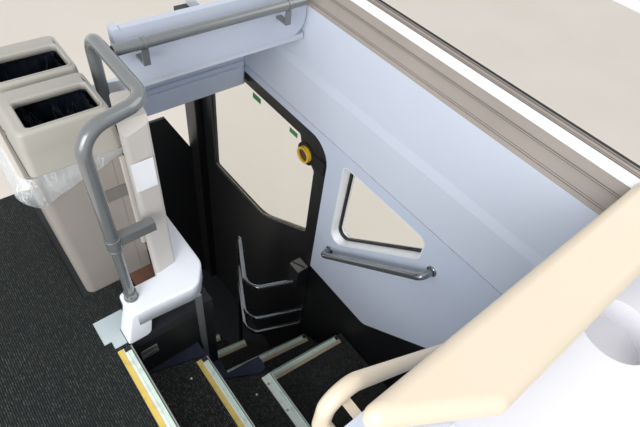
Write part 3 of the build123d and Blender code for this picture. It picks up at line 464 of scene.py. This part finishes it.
bm = bmesh.new()
for x, y, z in ((207, 670, -235), (406, 566, -470)):
    disc(bm, (x, y, z + 4.5), (0, 0, 1), 4, 2.4, 1.0, 24)
keep(bm, "carpet_rivets", RIVET)

bm = bmesh.new()
for y in (448, 574):
    disc(bm, (467, y, -466.6), (0, 0, 1), 5, 1.6, 0.6, 20)
for angle in (4.4, 5.8):
    way = (math.cos(angle), math.sin(angle), 0)
    disc(bm, (POLE_X + 18 * way[0], POLE_Y + 18 * way[1], 158), way, 4, 2, 0.6, 16)
keep(bm, "fixing_screws", SCREW)


def sweep(bm, points, radius, bend):
    """A round tube along mm points, its corners bent."""
    path = [at(*points[0])]
    for a, b, c in zip(points, points[1:], points[2:]):
        corner = at(*b)
        into, out = (at(*a) - corner).normalized(), (at(*c) - corner).normalized()
        first, last = corner + into * bend / 1000, corner + out * bend / 1000
        path += [first.lerp(corner, i / 8).lerp(corner.lerp(last, i / 8), i / 8) for i in range(9)]
    path.append(at(*points[-1]))
    ways = [(b - a).normalized() for a, b in zip(path, path[1:])]
    ways = [ways[0]] + [(a + b).normalized() for a, b in zip(ways, ways[1:])] + [ways[-1]]
    turn, rings = ways[0].to_track_quat("Z", "Y"), []
    for i, (place, way) in enumerate(zip(path, ways)):
        turn = ways[max(0, i - 1)].rotation_difference(way) @ turn
        made = bmesh.ops.create_circle(bm, segments=28, radius=radius / 1000,
                                       matrix=Matrix.Translation(place) @ turn.to_matrix().to_4x4())
        rings.append(edges_of(made["verts"]))
    for a, b in zip(rings, rings[1:]):
        bmesh.ops.bridge_loops(bm, edges=a + b)
    for ring in (rings[0], rings[-1]):
        bmesh.ops.contextual_create(bm, geom=ring)
    bmesh.ops.recalc_face_normals(bm, faces=bm.faces[:])


# The sloping handle on the side wall: one tube whose ends bend back to the lining, each in a small flange.
HANDLE_RADIUS, HANDLE_BEND, HANDLE_OUT_X, WALL_X = 13, 30, 903, 949
bm = bmesh.new()
lean = Vector((0, 368 - 836, 164 + 240)).normalized() * HANDLE_RADIUS
low_end, high_end = (836 + lean.y, -240 + lean.z), (368 - lean.y, 164 - lean.z)
sweep(bm, [(WALL_X, *low_end), (HANDLE_OUT_X, *low_end), (HANDLE_OUT_X, *high_end), (WALL_X, *high_end)],
      HANDLE_RADIUS, HANDLE_BEND)
for end in (low_end, high_end):
    disc(bm, (945, *end), (1, 0, 0), 19, 4.2)
piece = keep(bm, "bent_wall_handle", HANDLE, smooth=True)
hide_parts("wall_grab_handle")


def crumple(x, y, z, size_mm):
    """Folds of stiff thin film at one size: the ridges of a noise."""
    point = Vector((x, y, z)) / size_mm
    return 1 - 2 * abs(noise.noise(point))


# The film as modelled, mm: the rim it is turned over, and the bag's top, foot and sides.
RIM_Z, BAG_TOP, BAG_FOOT, BAG_LEFT, BAG_RIGHT = 533.4, 600.0, 12.0, 53, 250


def skirt_route(y0, y1, ahead):
    """Points round three sides of one bin's rim as (x, y, normal): its near side, its free end and its far side.

    The bin's corners are square on its near side and rounded on its far side, and the route follows them outside.
    """
    left, right, square, rounded = 33.4, 264.6, 3.0, 27.0
    end, other, face = (y0, y1, -1) if ahead else (y1, y0, 1)
    near, far = end - face * square, end - face * rounded
    rows = [(right, other + (near - other) * i / 24, 1.0, 0.0) for i in range(24)]
    for x, y, radius, first in ((right - square, near, square, 0.0), (left + rounded, far, rounded, math.pi / 2)):
        for i in range(13):
            nx, ny = math.cos(first + math.pi / 2 * i / 12), face * math.sin(first + math.pi / 2 * i / 12)
            rows.append((x + radius * nx, y + radius * ny, nx, ny))
        if not first:
            span = right - square - left - rounded
            rows += [(right - square - span * i / 40, end, 0.0, face) for i in range(1, 40)]
    return rows + [(left, far + (other - far) * i / 48, -1.0, 0.0) for i in range(1, 49)]


def hang_skirt(bm, y0, y1, ahead):
    """The film turned out over the rim: it hangs lowest and bulges most on the bin's far side."""
    route, rows = skirt_route(y0, y1, ahead), 28
    drop, less = (104, 26) if ahead else (78, 0)
    bmesh.ops.create_grid(bm, x_segments=len(route) - 1, y_segments=rows, size=1.0)
    verts = sorted(bm.verts, key=lambda v: (round(v.co.y, 5), round(v.co.x, 5)))
    for n, vert in enumerate(verts):
        j, i = divmod(n, len(route))
        x, y, nx, ny = route[i]
        t = 1 - j / rows
        side = max(0.0, -nx)
        across = min(1.0, max(0.0, (262 - x) / 228))
        back = abs(y - (y0 if ahead else y1)) / (y1 - y0)
        span = (18 + 86 * across) * (1 - side) + side * (drop - less * back)
        span += 22 * max(0.0, nx) + 7 * noise.noise(Vector((x / 45, y / 45, 4.0)))
        billow = math.sin(math.pi * min(1.0, 0.08 + t * 0.9)) ** 0.8
        fold = crumple(x, y, (RIM_Z - t * span) * 0.5, 74) + 0.3 * crumple(x + 90, y, t * span * 0.5, 24)
        out = 0.9 + billow * (4 + 28 * side) + t * (2.2 * fold + 2.0) * (0.5 + 2.0 * side)
        vert.co = at(x + nx * out, y + ny * out, RIM_Z - t * span + 3.0 * fold * t)


def hang_bag(bm, y0, y1):
    """The film inside: pleated round its top, then drawn in a little and crumpled on its way down to the base."""
    front, rear, steps = y0 + 10, y1 - 17, 22
    cx, cy = (BAG_LEFT + BAG_RIGHT) / 2, (front + rear) / 2
    corners = bmesh.ops.create_grid(bm, x_segments=1, y_segments=1, size=1.0)["verts"]
    for vert in corners:
        vert.co = at(BAG_LEFT if vert.co.x < 0 else BAG_RIGHT, front if vert.co.y < 0 else rear, BAG_TOP)
    bmesh.ops.subdivide_edges(bm, edges=edges_of(corners), cuts=25, use_grid_fill=False)
    top = [f for f in bm.faces if f.calc_center_median().z > at(0, 0, BAG_TOP - 1).z]
    ring = [e for f in top for e in f.edges]
    for vert in dict.fromkeys(v for e in ring for v in e.verts):
        x, y = plan_mm(vert)
        pleat = 2.6 * (1 + math.sin((x + y) * 2 * math.pi / 31 + 2 * noise.noise(Vector((x / 60, y / 60, 0)))))
        if min(x - BAG_LEFT, BAG_RIGHT - x) < min(y - front, rear - y):
            x += math.copysign(pleat, cx - x)
        else:
            y += math.copysign(pleat, cy - y)
        vert.co = at(x, y, BAG_TOP)
    bmesh.ops.delete(bm, geom=top, context="FACES_ONLY")
    for j in range(steps):
        made = bmesh.ops.extrude_edge_only(bm, edges=ring)["geom"]
        t = (j + 1) / steps
        for vert in only(made, bmesh.types.BMVert):
            x, y = plan_mm(vert)
            lean = max(0.001, 0.0044 + 0.011 * (crumple(x, y, t * 420, 60) - 0.6) * math.sin(math.pi * t))
            z = BAG_TOP - (BAG_TOP - BAG_FOOT) * t + 9 * noise.noise(Vector((x / 50, y / 50, t * 6))) * (1 - t)
            vert.co = at(x + (cx - x) * lean, y + (cy - y) * lean, z)
        ring = only(made, bmesh.types.BMEdge)
    bmesh.ops.contextual_create(bm, geom=ring)


def liner(name, y0, y1, ahead, node):
    """A thin liner in one bin: a skirt turned out over the rim, and the bag inside it down to its base."""
    bm = bmesh.new()
    hang_skirt(bm, y0, y1, ahead)
    skirt = len(bm.faces)
    hang_bag(bm, y0, y1)
    bmesh.ops.recalc_face_normals(bm, faces=bm.faces[:])
    piece = keep(bm, name, FILM, smooth=True)
    # The bag inside takes the dark film: painted shade inside the bin, with painted glints on its creases.
    piece.data.materials.append(SHADE_PAINTED_FILM)
    for face in piece.data.polygons[skirt:]:
        face.material_index = 1
    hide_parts(node)


liner("liner_front", 1005.0, 1204.0, True, "bin_bag_front")
liner("liner_rear", 1206.0, 1406.0, False, "bin_bag_rear")


def rounded_sheet(bm, corners, z):
    """A flat face of (x, y, corner radius) rows at one height, its corners rounded."""
    verts = [bm.verts.new(at(x, y, z)) for x, y, r in corners]
    bm.faces.new(verts)
    for vert, (x, y, r) in zip(verts, corners):
        if r:
            a, b = [(e.other_vert(vert).co - vert.co).normalized() for e in vert.link_edges]
            back = r / 1000 / math.tan(a.angle(b) / 2)
            bmesh.ops.bevel(bm, geom=[vert], offset=back, segments=8, profile=0.5, affect="VERTICES", material=-1)
    return bm.faces[:][0]


# The hoods in mm: sides, length and foot, then (height over the foot, how far in) up the leaning sides and round the
# top edge, and (height, how far out) over the mouth's lip and down into it.
HOOD_LEFT, HOOD_RIGHT, HOOD_LENGTH, HOOD_FOOT, HOOD_CORNER, HOOD_WALL = 42.0, 270.0, 194.0, 532.6, 17, 3
HOOD_SIDES = [(2.2, 0.4), (58, 4.6), (64, 4.5), (71, 3.9), (114, 7.2)]
HOOD_SIDES += [(114 + 11 * math.sin(a), 7.2 + 10 * (1 - math.cos(a))) for a in (0.3, 0.6, 0.9, 1.2, 1.5708)]
HOOD_SIDES += [(125.2, 19.5)]
MOUTH_X, MOUTH_AHEAD, MOUTH_HALF_X, MOUTH_HALF_Y = 161.5, 77, 85.5, 54.5
MOUTH_LIP = [(125.2, 7.0), (126.4, 4.5), (125.4, 1.2), (122.0, 0.0), (108.0, -1.0)]


def hood(name, y0, body, node):
    """A lift-off hood: leaning rounded sides with a soft crease, a rolled top edge and a lipped mouth."""
    y1, r = y0 + HOOD_LENGTH, HOOD_CORNER
    cx, cy = (HOOD_LEFT + HOOD_RIGHT) / 2, (y0 + y1) / 2
    half_x, half_y = (HOOD_RIGHT - HOOD_LEFT) / 2, HOOD_LENGTH / 2
    bm = bmesh.new()
    foot = rounded_sheet(bm, [(HOOD_LEFT, y0, r), (HOOD_RIGHT, y0, r), (HOOD_RIGHT, y1, r), (HOOD_LEFT, y1, r)],
                         HOOD_FOOT)
    base = [(x - cx, y - cy) for x, y in map(plan_mm, foot.verts)]
    levels = [(up, cx, cy, half_x - inset, half_y - inset) for up, inset in HOOD_SIDES]
    levels += [(up, MOUTH_X, y0 + MOUTH_AHEAD, MOUTH_HALF_X + grow, MOUTH_HALF_Y + grow) for up, grow in MOUTH_LIP]
    ring = foot
    for up, mid_x, mid_y, reach_x, reach_y in levels:
        fresh = only(bmesh.ops.extrude_face_region(bm, geom=[ring])["geom"], bmesh.types.BMFace)[0]
        for vert, (x, y) in zip(fresh.verts, base):
            vert.co = at(mid_x + x * reach_x / half_x, mid_y + y * reach_y / half_y, HOOD_FOOT + up)
        if ring is not foot and ring.is_valid:
            bm.faces.remove(ring)
        ring = fresh
    for spare in (ring, foot):
        if spare.is_valid:
            bm.faces.remove(spare)
    bmesh.ops.recalc_face_normals(bm, faces=bm.faces[:])
    piece = keep(bm, name, HOOD, body, smooth=True)
    wall = piece.modifiers.new("wall", "SOLIDIFY")
    wall.thickness = HOOD_WALL / 1000
    wall.offset = -1.0
    # The wall's inner faces take the dark film: painted shade inside the hood, with painted glints.
    piece.data.materials.append(SHADE_PAINTED_FILM)
    wall.material_offset = 1
    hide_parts(node)


hood("hood_shell_front", 1003.0, "front_hood", "bin_hood_front")
hood("hood_shell_rear", 1203.0, "rear_hood", "bin_hood_rear")

# The white moulding over the well's corner, with soft edges and one leg down to the floor, mm.
CAP_FOOT, CAP_HEIGHT, LEG_Y, LEG_DEPTH, LEG_FREE_X = 75.0, 66, 772.6, 60.4, 120
CAP_OUTLINE = [(111, 773, 12), (164, 771.6, 0), (317, 759, 44), (367, 831, 58), (367, 1127.5, 0),
               (266, 1127.5, 0), (266, 994, 0), (228, 864, 0), (111, 864, 14)]
LEG_OUTLINE = [(79, 8), (88, 0.5), (136, 0.5), (147, 4.5), (154, 15), (164, 75), (164, 134), (111, 134)]


def pushed_out(bm, face, way):
    """The far end's vertices of a face drawn out along a way in mm."""
    far = only(bmesh.ops.extrude_face_region(bm, geom=[face])["geom"], bmesh.types.BMVert)
    bmesh.ops.translate(bm, vec=Vector(way) / 1000, verts=far)
    return far


bm = bmesh.new()
raised = pushed_out(bm, rounded_sheet(bm, CAP_OUTLINE, CAP_FOOT), (0, 0, CAP_HEIGHT))
bmesh.ops.recalc_face_normals(bm, faces=bm.faces[:])
rim = [e for e in bm.edges if all(v in raised for v in e.verts)]
soften(bm, rim, 8, 5, offset_type="OFFSET", clamp_overlap=True)
near_end = [bm.verts.new(at(x, LEG_Y, z)) for x, z in LEG_OUTLINE]
leg = set(near_end) | set(pushed_out(bm, bm.faces.new(near_end), (0, LEG_DEPTH, 0)))
edges = [e for e in bm.edges if all(v in leg for v in e.verts) and (
    all(v in near_end for v in e.verts) or (e.verts[0].co.x + e.verts[1].co.x) / 2 < at(LEG_FREE_X, 0, 0).x)]
soften(bm, edges, 4, 4, clamp_overlap=True)
bmesh.ops.recalc_face_normals(bm, faces=bm.faces[:])
piece = keep(bm, "soft_corner_moulding", MOULDING, smooth=True)
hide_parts("corner_moulding")

# ---------------------------------------------------------------- stage, light and camera

bm = bmesh.new()
bmesh.ops.create_grid(bm, x_segments=1, y_segments=1, size=9.0, matrix=Matrix.Translation((0, 0, -0.001)))
mesh = bpy.data.meshes.new("stage_floor")
bm.to_mesh(mesh)
bm.free()
floor = linked("stage_floor", mesh)
made, tree, place = start("pale studio floor")
dapple = add(tree, "ShaderNodeTexNoise", {"Scale": 1.2, "Detail": 2.0}, {"Vector": place})
tone = add(tree, "ShaderNodeMix", {"data_type": "RGBA", 6: tint("f4ece1"), 7: tint("ece3d6")},
           {0: dapple.outputs["Fac"]})
close(tree, add(tree, "ShaderNodeBsdfPrincipled", {"Roughness": 0.8}, {"Base Color": tone.outputs[2]}))
mesh.materials.append(made)

# A soft grey-white light all round, seen as plain white by the camera, in reflections and through glass.
world = bpy.data.worlds.new("studio")
bpy.context.scene.world = world
world.use_nodes = True
tree = world.node_tree
tree.nodes.clear()
ray = add(tree, "ShaderNodeLightPath", {})
either = add(tree, "ShaderNodeMath", {"operation": "MAXIMUM"},
             {0: ray.outputs["Is Camera Ray"], 1: ray.outputs["Is Glossy Ray"]})
seen = add(tree, "ShaderNodeMath", {"operation": "MAXIMUM"},
           {0: either.outputs[0], 1: ray.outputs["Is Transmission Ray"]})
soft = add(tree, "ShaderNodeBackground", {"Color": tint("f6f8fb"), "Strength": 0.86})
white = add(tree, "ShaderNodeBackground", {"Color": (1, 1, 1, 1), "Strength": 1.0})
mixed = add(tree, "ShaderNodeMixShader", {}, {0: seen.outputs[0], 1: soft.outputs[0], 2: white.outputs[0]})
add(tree, "ShaderNodeOutputWorld", {}, {"Surface": mixed.outputs[0]})


def lamp(name, place, aim, size, power, code):
    """A square area light from place to aim, its size in metres and power in watts."""
    data = bpy.data.lights.new(name, "AREA")
    data.shape = "SQUARE"
    data.size = size
    data.energy = power
    data.color = tint(code)[:3]
    made = linked(name, data)
    made.location = place
    made.rotation_euler = (Vector(aim) - Vector(place)).to_track_quat("-Z", "Y").to_euler()


lamp("far side light", (-2.8, -1.7, 3.6), (0.4, 0.1, 1.8), 2.6, 77, "fdfcff")
lamp("window side light", (2.6, -0.9, 4.3), (-0.2, 0.1, 2.0), 2.4, 34, "fffdf8")
lamp("near soft light", (-1.35, -1.1, 3.3), (0.1, -0.05, 1.8), 0.9, 10, "fdfdff")

# The camera as fitted to the photograph, in the frame's metres.
CAMERA_PLACE = (-0.3623, -0.9597, 3.3530)
right = Vector((0.77625, -0.6206, 0.11092)).normalized()
forward = Vector((0.47505, 0.46013, -0.75007)).normalized()
up = right.cross(forward).normalized()
forward = up.cross(right).normalized()
view = bpy.data.cameras.new("photograph view")
view.sensor_fit = "HORIZONTAL"
view.sensor_width = 36.0
view.lens = 27.607
view.clip_start = 0.02
camera = linked("photograph view", view)
turn = Matrix((right, up, -forward)).transposed().to_4x4()
camera.matrix_world = Matrix.Translation(CAMERA_PLACE) @ turn
bpy.context.scene.camera = camera
bpy.context.scene.view_settings.view_transform = "Standard"
